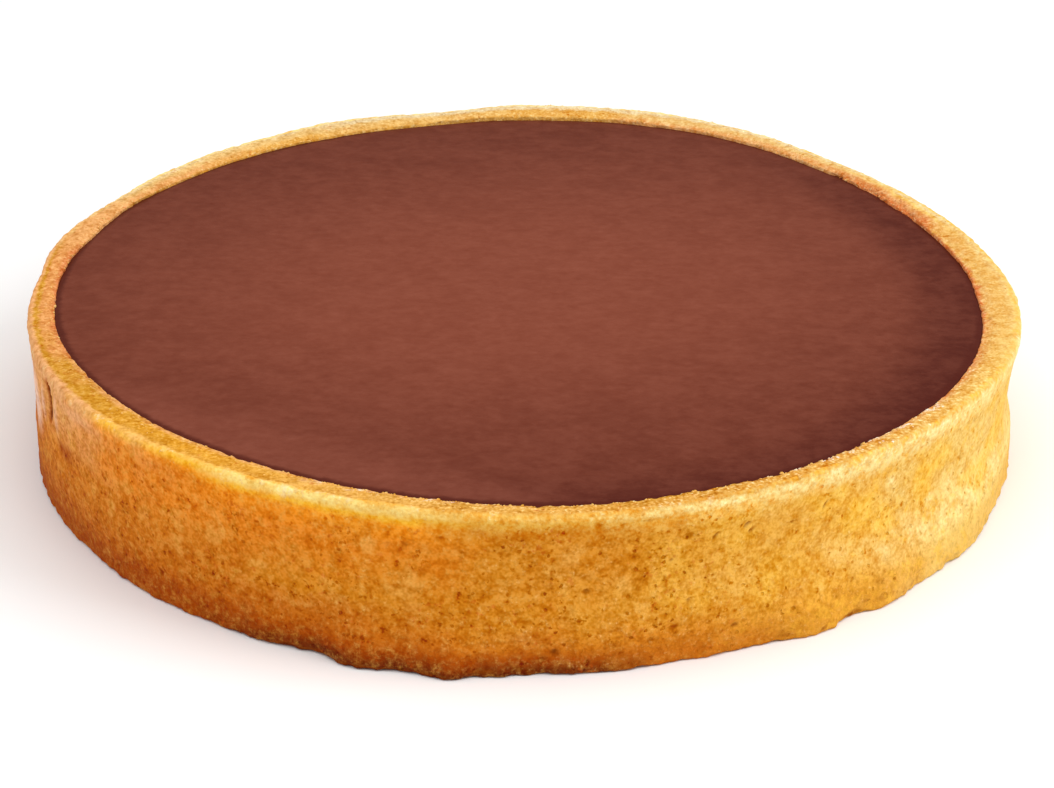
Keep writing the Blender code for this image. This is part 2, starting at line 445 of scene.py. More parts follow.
under_stops = [(share * FOOT_RADIUS, 0.0) for share in (0.97, 0.9, 0.78, 0.6, 0.4, 0.2, 0.07, 0)]
floor_middle = (INNER_RADIUS - INSIDE_CORNER, BASE_THICKNESS + INSIDE_CORNER)
floor_corner = rounding(floor_middle, 0, -90, 4, INSIDE_CORNER)
inside_stops = [
    *straight(lip_end, floor_corner[0], HIDDEN_STEP),
    *floor_corner,
    *[(share * INNER_RADIUS, BASE_THICKNESS) for share in (0.75, 0.5, 0.25, 0.08, 0)],
]
close_off(0, under_stops, UNDER_DISC, flip=True)
close_off(len(section) - 1, inside_stops, INSIDE_DISC, flip=False)


def new_piece(name, points, faces, corners=None):
    """A closed, smooth mesh piece, with the map that its finish is kept on where it brings one."""
    mesh = bpy.data.meshes.new(name)
    mesh.from_pydata([tuple(map(float, point)) for point in points], [], faces)
    mesh.shade_smooth()
    if corners:
        kept_map = mesh.uv_layers.new(name="OFBake")
        kept_map.uv.foreach_set("vector", np.array(corners, np.float32).ravel())
    piece = bpy.data.objects.new(name, mesh)
    bpy.context.scene.collection.objects.link(piece)
    return piece


def mark_points(piece, name, values):
    """Keeps a number for each point of a piece, which its finish goes by."""
    marks = piece.data.attributes.new(name, "FLOAT", "POINT")
    marks.data.foreach_set("value", np.asarray(values, np.float32))


pastry_case = new_piece("pastry_case", points, faces, corners)
down_wall = np.clip(run[cut_from] - run, 0, None)[:, None] / MM  # mm below the top, down the outside
over_cut = np.clip((run - run[cut_from]) / (run[cut_to] - run[cut_from]), 0, 1.5)[:, None]
for name, values, where_hidden in (
    ("down_wall", down_wall, CASE_HEIGHT / MM),
    ("over_cut", over_cut, 0),  # 0 at the outer edge, 1 at the inner one
    ("pits", pits, 0),
    ("scorched", scorched, 0),
    ("pale", pale, 0),
):
    shown = np.broadcast_to(values, across.shape).ravel()
    mark_points(pastry_case, name, [*shown, *[where_hidden] * (len(points) - grid.size)])

EYE_GAMMA = 2.2


class Tone:
    """One output of a shader node. Arithmetic on it adds the nodes that work the result out."""

    def __init__(self, tree, socket):
        self.tree = tree
        self.socket = socket

    def node(self, kind, settings, sockets, output=0):
        """Adds a node: its settings first, then the values or links of its sockets."""
        node = self.tree.nodes.new("ShaderNode" + kind)
        for name, value in settings.items():
            if name == "stops":
                ramp = node.color_ramp.elements
                for end, (at, colour) in zip(ramp, (value[0], value[-1])):
                    end.position, end.color = at, colour
                for at, colour in value[1:-1]:
                    ramp.new(at).color = colour
            else:
                setattr(node, name, value)
        for place, value in sockets.items():
            if isinstance(value, Tone):
                self.tree.links.new(value.socket, node.inputs[place])
            else:
                node.inputs[place].default_value = value
        return Tone(self.tree, node.outputs[output])

    def worked(self, operation, *values):
        """What one Math or Vector Math operation makes of some values."""
        kind = "VectorMath" if self.socket.type == "VECTOR" else "Math"
        return self.node(kind, {"operation": operation}, dict(enumerate(values)))

    def __add__(self, other):
        return self.worked("ADD", self, other)

    def __sub__(self, other):
        return self.worked("SUBTRACT", self, other)

    def __rsub__(self, other):
        return self.worked("SUBTRACT", other, self)

    def __mul__(self, other):
        return self.worked("MULTIPLY", self, other)

    __radd__ = __add__
    __rmul__ = __mul__

    def beside(self, output):
        """Another output of the same node."""
        return Tone(self.tree, self.socket.node.outputs[output])

    def along_axes(self):
        """This place's three distances, along X, Y and Z."""
        east = self.node("SeparateXYZ", {}, {0: self})
        return east, east.beside("Y"), east.beside("Z")

    def mark(self, name):
        """A number that the piece's mesh keeps for each of its points."""
        return self.node("Attribute", {"attribute_name": name}, {}, "Fac")

    def rise(self, low, high):
        """0 under low, 1 over high, and smooth between. Where low is the larger, it falls."""
        return self.node(
            "MapRange",
            {"interpolation_type": "SMOOTHSTEP"},
            {"Value": self, "From Min": low, "From Max": high},
        )

    def noise(self, size, detail=2.0, roughness=0.5):
        """Cloudy noise round 0.5, with lumps about this size in metres."""
        return self.node(
            "TexNoise",
            {},
            {"Vector": self, "Scale": 1 / size, "Detail": detail, "Roughness": roughness},
        )

    def lay(self, under, colour):
        """Lays a colour over another as far as this mask goes.

        A Mix node has sockets of its own for colours: 6, 7 and the output 2.
        """
        return self.node("Mix", {"data_type": "RGBA"}, {0: self, 6: under, 7: colour}, 2)

    def shaded(self, by, tint):
        """This colour made lighter or darker, by a share of the whole range as the eye sees it.

        The tint is how much of that goes to red, green and blue.
        """
        seen = self.node("Gamma", {}, {"Color": self, "Gamma": 1 / EYE_GAMMA})
        seen = seen.node("VectorMath", {"operation": "MULTIPLY_ADD"}, {0: by, 1: tint, 2: seen})
        seen = seen.node("VectorMath", {"operation": "MAXIMUM"}, {0: seen, 1: (0.01, 0.01, 0.01)})
        return seen.node("Gamma", {}, {"Color": seen, "Gamma": EYE_GAMMA})


def paint(red, green, blue):
    """A colour from its usual 0 to 255 numbers, as the linear one that a shader takes."""
    return (
        *(
            (part / 255 / 12.92 if part <= 10 else ((part / 255 + 0.055) / 1.055) ** 2.4)
            for part in (red, green, blue)
        ),
        1.0,
    )


def bare_finish(name):
    """A new material, its shader, and the place on the piece in metres."""
    material = bpy.data.materials.new(name)
    material.use_nodes = True
    tree = material.node_tree
    shader = tree.nodes["Principled BSDF"]
    place = Tone(tree, tree.nodes.new("ShaderNodeTexCoord").outputs["Object"])
    return material, shader, place


def feed(tone, shader, socket):
    """Links a tone to one socket of a shader."""
    tone.tree.links.new(tone.socket, shader.inputs[socket])


def feed_relief(lift, strength, shader):
    """Shows a finish's finest relief by the way it takes the light. The lift is in mm."""
    bump = lift.node("Bump", {}, {"Height": lift, "Distance": 1.0 * MM, "Strength": strength})
    feed(bump, shader, "Normal")


def coloured_round(turn, along, reach, sides):
    """A colour that changes along a section, as far as its reach, and round the tart.

    Each side is an angle in degrees and its stops, a distance and the colour there. One side's
    colours fade into the next one's.
    """
    ramps = []
    for _, stops in sides:
        shares = [(at / reach, stop) for at, stop in stops]
        ramps.append(along.node("ValToRGB", {"stops": shares}, {0: along * (1 / reach)}))
    colour = ramps[0]
    for before, after, ramp in zip(sides, sides[1:], ramps[1:]):
        colour = turn.rise(math.radians(before[0]), math.radians(after[0])).lay(colour, ramp)
    return colour


CREAM = paint(250, 221, 144)
LIGHT_GOLD = paint(248, 188, 84)
BUTTER = paint(255, 226, 146)
LEMON = paint(255, 222, 130)
BRIGHT_GOLD = paint(255, 190, 50)
FIRE_AMBER = paint(250, 150, 26)
YOLK = paint(250, 194, 70)
PALE_STRAW = paint(236, 191, 101)
STRAW = paint(232, 170, 63)
GOLD = paint(222, 154, 45)
HONEY = paint(211, 130, 25)
AMBER = paint(227, 128, 25)
DEEP_AMBER = paint(208, 118, 22)
CARAMEL = paint(198, 108, 16)
BROWN_SUGAR = paint(187, 93, 6)
FOOT_BROWN = paint(166, 70, 0)
TRAY_BROWN = paint(108, 38, 4)
ROSY_TAN = paint(224, 152, 84)
PINK_TAN = paint(229, 164, 106)
PEACH = paint(224, 158, 92)
SAND = paint(228, 184, 112)
HAY = paint(227, 175, 93)
APRICOT = paint(222, 164, 76)
HONEY_TAN = paint(214, 152, 62)
MUSTARD = paint(203, 140, 40)
FLOURY = paint(230, 204, 156)
RUST = paint(212, 122, 66)

# The bake round the wall, with a painted highlight: an angle, then millimetres below the top and the
# colour there. The pale band in the top millimetre or two of each side, on the rounded outer edge, is a
# painted highlight.
BAKE_REACH = 20
LEFT_BAKE = (
    (0, PINK_TAN), (1, PINK_TAN), (2.5, ROSY_TAN), (4, ROSY_TAN), (9, DEEP_AMBER), (13, CARAMEL),
    (16, BROWN_SUGAR), (18.5, FOOT_BROWN),
)
WALL_BAKE_AND_HIGHLIGHT = (
    (-180, LEFT_BAKE),
    (-150, LEFT_BAKE),
    (
        -130,
        (
            (0.1, LIGHT_GOLD), (0.5, BRIGHT_GOLD), (1.3, FIRE_AMBER), (2.2, AMBER), (6, AMBER),
            (10, DEEP_AMBER), (14, CARAMEL), (15.8, BROWN_SUGAR), (17.4, FOOT_BROWN),
        ),
    ),
    (
        -110,
        (
            (0, LIGHT_GOLD), (0.3, LEMON), (0.9, LEMON), (1.6, BRIGHT_GOLD), (2.5, FIRE_AMBER), (5, AMBER),
            (12, HONEY), (14, CARAMEL), (16, BROWN_SUGAR), (17.8, FOOT_BROWN), (19.4, TRAY_BROWN),
        ),
    ),
    (
        -89,
        (
            (0.0, APRICOT), (0.4, LIGHT_GOLD), (0.9, LIGHT_GOLD), (1.4, STRAW), (2.6, HONEY), (14, HONEY),
            (17, CARAMEL), (18.2, FOOT_BROWN), (19.8, TRAY_BROWN),
        ),
    ),
    (
        -70,
        (
            (0.4, APRICOT), (0.8, BUTTER), (1.3, BUTTER), (1.8, LIGHT_GOLD), (2.4, LIGHT_GOLD),
            (3.2, STRAW), (4.8, GOLD), (12, GOLD), (16, HONEY), (19, CARAMEL),
        ),
    ),
    (
        -50,
        (
            (0, APRICOT), (0.4, PALE_STRAW), (0.9, CREAM), (1.8, CREAM), (3.8, STRAW), (13, STRAW),
            (17, GOLD),
        ),
    ),
    (
        -31,
        (
            (0.4, PALE_STRAW), (1.0, CREAM), (1.6, CREAM), (4, PALE_STRAW), (9, PALE_STRAW), (14, CREAM),
            (17, PALE_STRAW),
        ),
    ),
    (10, ((0.1, PALE_STRAW), (0.8, CREAM), (4, PALE_STRAW), (14, PALE_STRAW), (18, STRAW))),
    (80, ((0.3, CREAM), (2.5, STRAW), (12, GOLD), (16, HONEY), (19, CARAMEL))),
    (135, ((0.3, LEMON), (2.5, AMBER), (12, HONEY), (16, CARAMEL), (19, FOOT_BROWN))),
    (180, LEFT_BAKE),
)
# The cut face: 0 at its outer edge, 1 at its inner one, and on down the lip
CUT_REACH = 1.2
SIDE_CUT = (
    (0, APRICOT), (0.1, MUSTARD), (0.2, MUSTARD), (0.35, ROSY_TAN), (0.65, ROSY_TAN), (0.95, RUST),
    (1.2, RUST),
)
LEFT_CUT = ((0, APRICOT), (0.2, MUSTARD), (0.7, MUSTARD), (0.95, PEACH), (1.2, PEACH))
BACK_CUT = ((0, FLOURY), (0.3, FLOURY), (0.5, SAND), (1.2, APRICOT))
CUT_BAKE = (
    (-180, SIDE_CUT),
    (-165, SIDE_CUT),
    (-150, LEFT_CUT),
    (-125, ((0, HONEY_TAN), (0.3, GOLD), (0.7, GOLD), (1.0, PEACH), (1.2, PEACH))),
    (-100, ((0, HONEY_TAN), (0.35, APRICOT), (0.7, APRICOT), (0.95, PEACH), (1.2, PEACH))),
    (-72, ((0, HONEY_TAN), (0.5, HONEY_TAN), (0.75, MUSTARD), (1.0, MUSTARD), (1.2, RUST))),
    (-45, ((0, HONEY_TAN), (0.3, APRICOT), (0.5, APRICOT), (1.0, PEACH), (1.2, RUST))),
    (-25, ((0, PALE_STRAW), (0.6, HAY), (0.85, PEACH), (1.05, RUST), (1.2, RUST))),
    (10, ((0, CREAM), (0.15, SAND), (0.35, HAY), (0.85, HAY), (1.0, RUST), (1.2, RUST))),
    (28, ((0, FLOURY), (0.3, PALE_STRAW), (0.55, PEACH), (0.85, RUST), (1.2, RUST))),
    (46, ((0, FLOURY), (0.1, FLOURY), (0.25, SAND), (0.5, SAND), (0.7, PEACH), (1.2, PEACH))),
    (66, ((0, FLOURY), (0.2, FLOURY), (0.4, SAND), (0.6, SAND), (0.9, PEACH), (1.2, PEACH))),
    (86, ((0, FLOURY), (0.3, FLOURY), (0.5, APRICOT), (1.2, APRICOT))),
    (100, BACK_CUT),
    (110, BACK_CUT),
    (126, ((0, FLOURY), (0.3, SAND), (0.5, SAND), (0.75, APRICOT), (1.0, HONEY_TAN), (1.2, HONEY_TAN))),
    (145, ((0, FLOURY), (0.4, SAND), (0.8, PEACH), (1.2, MUSTARD))),
    (165, ((0, SAND), (0.2, PEACH), (0.8, PEACH), (1.2, PEACH))),
    (180, SIDE_CUT),
)

DRY_GRAIN = paint(255, 226, 160)
EDGE_GLINT = paint(255, 236, 186)
DRY_FLAKE_GLINT = paint(255, 240, 222)
RED_SPECK = paint(196, 84, 14)
SCORCHED = paint(138, 62, 0)
BLISTER_REFLECTION = paint(240, 198, 176)
# What a grain gains or loses of red, green and blue as it gets lighter or darker
CRUST_TINT = (0.95, 1.1, 1.1, 1.0)
CREAM_TINT = (0.35, 1.15, 1.45, 1.0)
FOOT_TINT = (1.0, 1.0, 0.8, 1.0)
TAN_PATCH = paint(228, 164, 74)

crust, shader, place = bare_finish("shortcrust")
east, north = place.along_axes()[:2]
down = place.mark("down_wall")
over = place.mark("over_cut")
pitted = place.mark("pits")
scorch_and_crack_shade = place.mark("scorched")
pale_and_glint_here = place.mark("pale")

clouds = place.noise(9 * MM, 2)
patches = place.noise(3.6 * MM, 2, 0.6)
crumb = place.noise(1.1 * MM, 3, 0.8)
grains = place.noise(0.42 * MM, 1)

# The angle round the tart in radians: -1.57 is the front, 0 the +X side, and -3.14 and 3.14 the -X side.
# It wanders with the clouds, and so do the distances down the wall and over the cut.
turn = north.worked("ARCTAN2", north, east) + (clouds - 0.5) * 0.5 + (patches - 0.5) * 0.25
wander = (patches - 0.5) * (0.8 + 0.34 * down) + (crumb - 0.5) * (0.8 + 0.05 * down)
wander *= 1 - 0.7 * down.rise(15, 18)
wall_colour = coloured_round(turn, down + wander, BAKE_REACH, WALL_BAKE_AND_HIGHLIGHT)
over_here = over + (patches - 0.5) * 0.5 + (crumb - 0.5) * 0.5
cut_colour = coloured_round(turn, over_here, CUT_REACH, CUT_BAKE)

# Where things are: masks of the cut, the wall, its rounded edge, and stretches round the tart
on_cut_face = (over + (crumb - 0.5) * 0.35).rise(-0.03, 0.16)
on_side = 1 - on_cut_face
at_edge = on_side * down.rise(2.4, 1.0)
off_edge = 1 - at_edge
pale_side = turn.rise(-1.6, -0.7) * turn.rise(2.4, 1.2)
front = turn.rise(-1.9, -1.4) * turn.rise(-0.2, -0.7)
past_left = turn.rise(-2.5, -2.0)

# Soft tan patches, yellow and buttery ones on the pale side, and loose clusters of red-gold specks
tan_share = patches.rise(0.54, 0.66) * down.rise(3, 6) * down.rise(15, 12)
tan_share = tan_share * (0.3 - 0.15 * pale_side)
colour = tan_share.lay(wall_colour, TAN_PATCH)
mottled = place.noise(6 * MM, 1) + (crumb - 0.5) * 0.3
soft_share = pale_side * down.rise(2, 4) * down.rise(17, 13)
colour = (mottled.rise(0.50, 0.64) * soft_share * 0.6).lay(colour, YOLK)
colour = (mottled.rise(0.48, 0.36) * soft_share * 0.16).lay(colour, BUTTER)
colour = on_cut_face.lay(colour, cut_colour)
specks = place.noise(0.8 * MM, 2, 0.6).rise(0.58, 0.68) * place.noise(5 * MM).rise(0.46, 0.58)
colour = (specks * (0.45 - 0.3 * pale_side) * off_edge).lay(colour, RED_SPECK)

# Dry grains and flakes where the crumb broke open, the white of the flakes partly painted glints, then
# pale marks and scorched places, with painted shade in the cracks
broken = over.rise(0.35, 0.95) * over.rise(1.5, 1.1)
dry_share = (0.15 + 0.3 * front) * broken + (0.06 + 0.26 * front) * on_cut_face
colour = (grains.rise(0.56, 0.72) * dry_share).lay(colour, DRY_GRAIN)
flaky = turn.rise(-1.95, -1.85) * turn.rise(-1.6, -1.7) * 0.6
flaky += turn.rise(-1.15, -1.0) * turn.rise(-0.5, -0.65)
clusters = place.noise(3.2 * MM, 1).rise(0.46, 0.56)
colour = (crumb.rise(0.50, 0.58) * broken * flaky * clusters * 0.9).lay(colour, DRY_FLAKE_GLINT)
# Pale marks: a painted glossy reflection on the blistered patch, painted highlights along its rim, painted
# glints on the raised nodules, and dry floury spots
reflection_and_pale_colour = turn.rise(-2.5, -2.1).lay(BLISTER_REFLECTION, CREAM)
colour = (pale_and_glint_here.rise(0.05, 1.0) * (0.45 + 0.7 * patches)).lay(colour, reflection_and_pale_colour)
# Scorched marks, and the dark of the cracks, which is painted shade in the gap
browned = turn.rise(-2.45, -2.05).lay(FOOT_BROWN, SCORCHED)
colour = (scorch_and_crack_shade.rise(0.05, 0.9) * (0.45 + 0.6 * crumb)).lay(colour, browned)
colour = (scorch_and_crack_shade.rise(0.8, 1.2) * 0.8).lay(colour, TRAY_BROWN)

# Gold grains lie in the painted highlight of the edge and in the cream of the pale side, and painted
# glints break up that highlight
highlight_and_cream = (at_edge * past_left * 0.9 + pale_side * 0.55) * on_side
mixed = crumb * 0.6 + patches * 0.4
gold_share = mixed.rise(0.50, 0.38) * highlight_and_cream
colour = (gold_share * (1 - pale_side) * 0.5).lay(colour, GOLD)
colour = (gold_share * pale_side * (0.9 - 0.4 * at_edge)).lay(colour, YOLK)
colour = (mixed.rise(0.55, 0.66) * on_side * down.rise(1.6, 0.9) * 0.7).lay(colour, EDGE_GLINT)

# The crumb is uneven down to single grains. Darker crevices and pores in loose clusters, and the pits, are
# painted shade in the crumb's hollows
PORE_SPACING = 1.1 * MM
lumps = place.noise(1.3 * MM, 2, 1.0)
unevenness = (lumps.worked("MINIMUM", lumps, 0.6) - 0.49) * (0.47 + 0.10 * front - 0.15 * highlight_and_cream)
unevenness += (patches - 0.5) * 0.1 * on_side * off_edge
unevenness += (grains - 0.5) * (0.15 + 0.2 * front) * on_cut_face
unevenness += (crumb - 0.5) * 0.45 * flaky * on_cut_face
unevenness += (grains - 0.5) * front * at_edge * 0.25
crevices = place.noise(0.9 * MM, 2, 0.7).rise(0.40, 0.28) * place.noise(4.5 * MM, 1).rise(0.42, 0.60)
unevenness -= crevices * 0.17 * off_edge
from_pore = place.node("TexVoronoi", {}, {"Vector": place, "Scale": 1 / PORE_SPACING})
pores = (from_pore + (grains - 0.5) * 0.5).rise(0.25, 0.11)
pores *= place.noise(5 * MM, 1).rise(0.40, 0.60) * on_side * off_edge
unevenness -= pores * (0.10 + 0.09 * front) * (1 - 0.35 * pale_side)
unevenness *= 1 - 0.45 * down.rise(16, 18)
unevenness -= pitted.rise(0.1, 1.0) * (0.18 - 0.1 * pale_side) * off_edge
glow = on_side * past_left * down.rise(4.5, 1.2)
tint = (glow + pale_side * 0.55).lay(CRUST_TINT, CREAM_TINT)
tint = down.rise(14, 17).lay(tint, FOOT_TINT)
feed(colour.shaded(unevenness, tint), shader, "Base Color")

feed(0.6 + 0.3 * crumb, shader, "Roughness")
feed(pale_and_glint_here.rise(0.1, 0.8) * on_side * 0.18, shader, "Coat Weight")
shader.inputs["Coat Roughness"].default_value = 0.35
feed_relief(patches * 0.15 + crumb * 0.28 + grains * 0.05 - pores * 0.1, 1.0, shader)
shader.inputs["Specular IOR Level"].default_value = 0.05
pastry_case.data.materials.append(crust)

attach(pastry_case, "root")
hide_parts("shell")

# --- Crumbs ---------------------------------------------------------------------------------------
# Grains and flakes of the same shortcrust that came loose as the case was lined and trimmed, and baked
# on where they lay: most along the cut's inner edge, some on the cut.

CRUMB_COUNT = 1100
CRUMB_SIZES = (0.1, 0.24)  # half-sizes in mm
CRUMB_SINKS = 0.45  # how far a crumb's middle lies under the skin, as a share of its size
AT_EDGE_SHARE = 0.7  # of the crumbs, which lie along the inner edge
EDGE_ROWS = (-2.6, 1.6)  # rows of the skin past that edge: the middle and the spread
GATHERED_SHARE = 0.45  # of those, which lie together at these angles: the middle and the spread
GATHERED = ((-52, 9), (30, 6), (-105, 8))
ON_CUT_SMALLER = 0.8
FLAKY_FROM, FLAKY_TO = -61, -42  # degrees, where every third crumb is a larger flake
FLAKE_LARGER = 1.9
BALL_RINGS, BALL_SIDES = 3, 6
skin_points = np.array(points[: grid.size]).reshape(*grid.shape, 3)


def crumb_ball(middle, up_way, size):
    """The points of one irregular grain that sits on the crust."""
    side_way = np.cross(up_way, dice.normal(size=3))
    side_way /= np.linalg.norm(side_way)
    third = np.cross(up_way, side_way)
    wide, tall = dice.uniform(0.8, 1.5), dice.uniform(0.5, 0.9)
    found = [middle - up_way * size * tall]
    for ring in range(1, BALL_RINGS + 1):
        lean = math.pi * ring / (BALL_RINGS + 1)
        for side in range(BALL_SIDES):
            spin = math.tau * (side + 0.5 * (ring % 2)) / BALL_SIDES
            reach = size * dice.uniform(0.72, 1.15)
            found.append(
                middle
                + side_way * reach * wide * math.sin(lean) * math.cos(spin)
                + third * reach * math.sin(lean) * math.sin(spin)
                - up_way * reach * tall * math.cos(lean)
            )
    found.append(middle + up_way * size * tall)
    return found


ball_faces = []
top_point = BALL_RINGS * BALL_SIDES + 1
for side in range(BALL_SIDES):
    after_side = (side + 1) % BALL_SIDES
    ball_faces.append((0, 1 + after_side, 1 + side))
    for ring in range(BALL_RINGS - 1):
        low, high_ring = 1 + ring * BALL_SIDES, 1 + (ring + 1) * BALL_SIDES
        ball_faces.append((low + side, low + after_side, high_ring + after_side, high_ring + side))
    last = 1 + (BALL_RINGS - 1) * BALL_SIDES
    ball_faces.append((last + side, last + after_side, top_point))

crumb_points, crumb_faces = [], []
for number in range(CRUMB_COUNT):
    where = dice.random()
    size = dice.uniform(*CRUMB_SIZES) * MM
    angle = dice.uniform(-180, 180)
    if where < AT_EDGE_SHARE:
        row = cut_to + int(dice.normal(*EDGE_ROWS))
        if dice.random() < GATHERED_SHARE:
            angle = dice.choice([dice.normal(*place) for place in GATHERED])
    else:
        row = int(dice.uniform(cut_from, cut_to))
        size *= ON_CUT_SMALLER
    if FLAKY_FROM < angle < FLAKY_TO and number % 3 == 0:
        size *= FLAKE_LARGER
    column = int((angle + 180) / 360 * STEPS_ROUND) % STEPS_ROUND
    here = skin_points[row, column]
    round_way = skin_points[row, (column + 1) % STEPS_ROUND] - here
    up_way = np.cross(round_way, skin_points[row + 1, column] - here)
    up_way /= np.linalg.norm(up_way)
    start = len(crumb_points)
    crumb_points.extend(crumb_ball(here - up_way * size * CRUMB_SINKS, up_way, size))
    crumb_faces.extend([[start + one for one in face] for face in ball_faces])

crumbs = new_piece("crumbs", crumb_points, crumb_faces)
crumb_finish, shader, place = bare_finish("crumb")
east, north, height = place.along_axes()
grains = place.noise(0.9 * MM, 3, 0.7)
turn = north.worked("ARCTAN2", north, east) + (place.noise(6 * MM) - 0.5) * 0.4

# Gold at the front left, rusty where the edge broke, and pale dry flakes at the front right, whose white
# is partly painted glints
colour = height.rise(2 * MM, 16 * MM).lay(CARAMEL, APRICOT)
colour = (turn.rise(-2.6, -1.9) * turn.rise(-0.6, -1.4) * 0.4).lay(colour, BRIGHT_GOLD)
colour = (turn.rise(0.2, 0.4) * turn.rise(0.8, 0.6) * 0.7).lay(colour, RUST)
flaky = turn.rise(-1.2, -1.05) * turn.rise(-0.5, -0.65) * place.noise(3.2 * MM, 1).rise(0.46, 0.56)
colour = (flaky * grains.rise(0.40, 0.50)).lay(colour, DRY_FLAKE_GLINT)
colour = (grains.rise(0.46, 0.60) * 0.35).lay(colour, DRY_GRAIN)
colour = (grains.rise(0.50, 0.36) * 0.45).lay(colour, CARAMEL)
feed(colour, shader, "Base Color")
feed(0.55 + 0.3 * grains, shader, "Roughness")
feed_relief(grains * 0.15, 0.8, shader)
shader.inputs["Specular IOR Level"].default_value = 0.25
crumbs.data.materials.append(crumb_finish)
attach(crumbs, "root")

# --- Ganache filling ------------------------------------------------------------------------------
# Milk chocolate and cream, poured warm into the baked case to just under the rim and left to set. Its
# top is satin and almost flat, and dips a little where it clings to the crust.

FILLING_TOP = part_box("filling")[1].z
FILLING_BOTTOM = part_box("filling")[0].z
REACH_INTO_CRUST = 0.35 * MM
EDGE_RADIUS = INNER_RADIUS + REACH_INTO_CRUST
SIDE_RADIUS = INNER_RADIUS - 0.3 * MM  # under its edge the filling keeps clear of the crust
EDGE_DEPTH = 1.6 * MM  # where its edge ends under the top, and where its side starts
SIDE_DEPTH = 3.0 * MM
SIDE_ENDS = 6 * MM  # the height at which the side meets its rounded foot
FILLING_ROUND = 2 * MM
CLING_WIDTH = 0.7  # mm from the crust in, where the top dips
CLING_DIP = 0.12 * MM
SWELL = 0.05 * MM
SWELL_SIZE = 20 * MM
SWELL_FADES = 8  # mm from the crust
FILLING_STEPS = 768
INNER_STEPS = FILLING_STEPS // 4
EDGE_GAPS = (0.0, 0.35, 0.5, 0.7, 0.9, 1.15, 1.5, 2.0, 2.7, 3.6)  # mm from the edge to each fine ring
TOP_DISC = (0.5, 0.5, 0.495)
HIDDEN_DISC = (0.07, 0.07, 0.065)

filling_points, filling_faces, filling_corners, from_wall = [], [], [], []


def filling_ring(radius, height, count, disc, share, gap):
    """A ring of the filling's points, and where they lie on the map."""
    turns = filling_turns[:: FILLING_STEPS // count]
    start = len(filling_points)
    reach = min(radius / INNER_RADIUS, 1)
    bends = (waves(INNER_WAVES, turns) - waist(height - CASE_FLOOR, turns)) * reach
    for turn, out in zip(turns, radius + bends):
        x, y = out * math.cos(turn), out * math.sin(turn)
        swell = SWELL * noise.noise((x / SWELL_SIZE, y / SWELL_SIZE, 4.2)) * min(gap / SWELL_FADES, 1)
        filling_points.append((x, y, height + swell))
        from_wall.append(gap)
    return np.arange(start, start + count), spots_on(disc, share, turns)


def close_filling(rings, height, disc, gap, flip):
    """Joins rings of the filling, from its edge in to one last point in the middle."""
    filling_points.append((0, 0, height))
    from_wall.append(gap)
    middle = (np.array([len(filling_points) - 1]), np.array([disc[:2]]))
    for far, near in zip(rings, [*rings[1:], middle]):
        bridge(filling_faces, filling_corners, far, near, flip)


filling_turns = np.linspace(-math.pi, math.pi, FILLING_STEPS, endpoint=False)
cling_from = REACH_INTO_CRUST / MM
top_rings = []
for gap in (*EDGE_GAPS, *np.linspace(4.9, EDGE_RADIUS / MM - 1.0, 40)):
    radius = EDGE_RADIUS - gap * MM
    dip = CLING_DIP * (1 - stretch(cling_from, cling_from + CLING_WIDTH, gap))
    count = FILLING_STEPS if gap <= EDGE_GAPS[-1] else INNER_STEPS
    top_rings.append(filling_ring(radius, FILLING_TOP - dip, count, TOP_DISC, radius / EDGE_RADIUS, gap))
close_filling(top_rings, FILLING_TOP, TOP_DISC, EDGE_RADIUS / MM, flip=False)

side_top = (SIDE_RADIUS, FILLING_TOP - SIDE_DEPTH)
foot_middle = (SIDE_RADIUS - FILLING_ROUND, FILLING_BOTTOM + FILLING_ROUND)
side_section = [
    (EDGE_RADIUS, FILLING_TOP - EDGE_DEPTH),
    side_top,
    *straight(side_top, (SIDE_RADIUS, SIDE_ENDS), 3 * MM),
    *rounding(foot_middle, 0, -90, 4, FILLING_ROUND),
    *((INNER_RADIUS * share, FILLING_BOTTOM) for share in (0.7, 0.4, 0.1)),
    (0, FILLING_BOTTOM),
]
way = np.linalg.norm(np.diff([(EDGE_RADIUS, FILLING_TOP), *side_section], axis=0), axis=1)
shares = 1 - np.cumsum(way) / way.sum()
hidden_rings = [(top_rings[0][0], spots_on(HIDDEN_DISC, 1, filling_turns))]
for (radius, height), share in zip(side_section[:-1], shares):
    hidden_rings.append(filling_ring(radius, height, INNER_STEPS, HIDDEN_DISC, share, 0))
close_filling(hidden_rings, FILLING_BOTTOM, HIDDEN_DISC, 0, flip=True)

ganache = new_piece("ganache", filling_points, filling_faces, filling_corners)
mark_points(ganache, "from_wall", from_wall)

MILK_CHOCOLATE = paint(127, 62, 42)
DEEP_CHOCOLATE = paint(96, 39, 22)
SHADE_CHOCOLATE = paint(76, 20, 6)
LIGHT_FILM_AND_SHEEN = paint(143, 77, 58)
SHADE_SPREAD = 0.6  # mm that the painted shade along the crust reaches further in at the front than at the sides
chocolate, shader, place = bare_finish("ganache")
east, north = place.along_axes()[:2]
gap = place.mark("from_wall")
drawn = place * (0.75, 1.0, 1.0)
film = drawn.noise(3.0 * MM, 4, 0.7)
fine_film = drawn.noise(1.1 * MM, 2, 0.7)
broad_film = drawn.noise(15 * MM, 2)

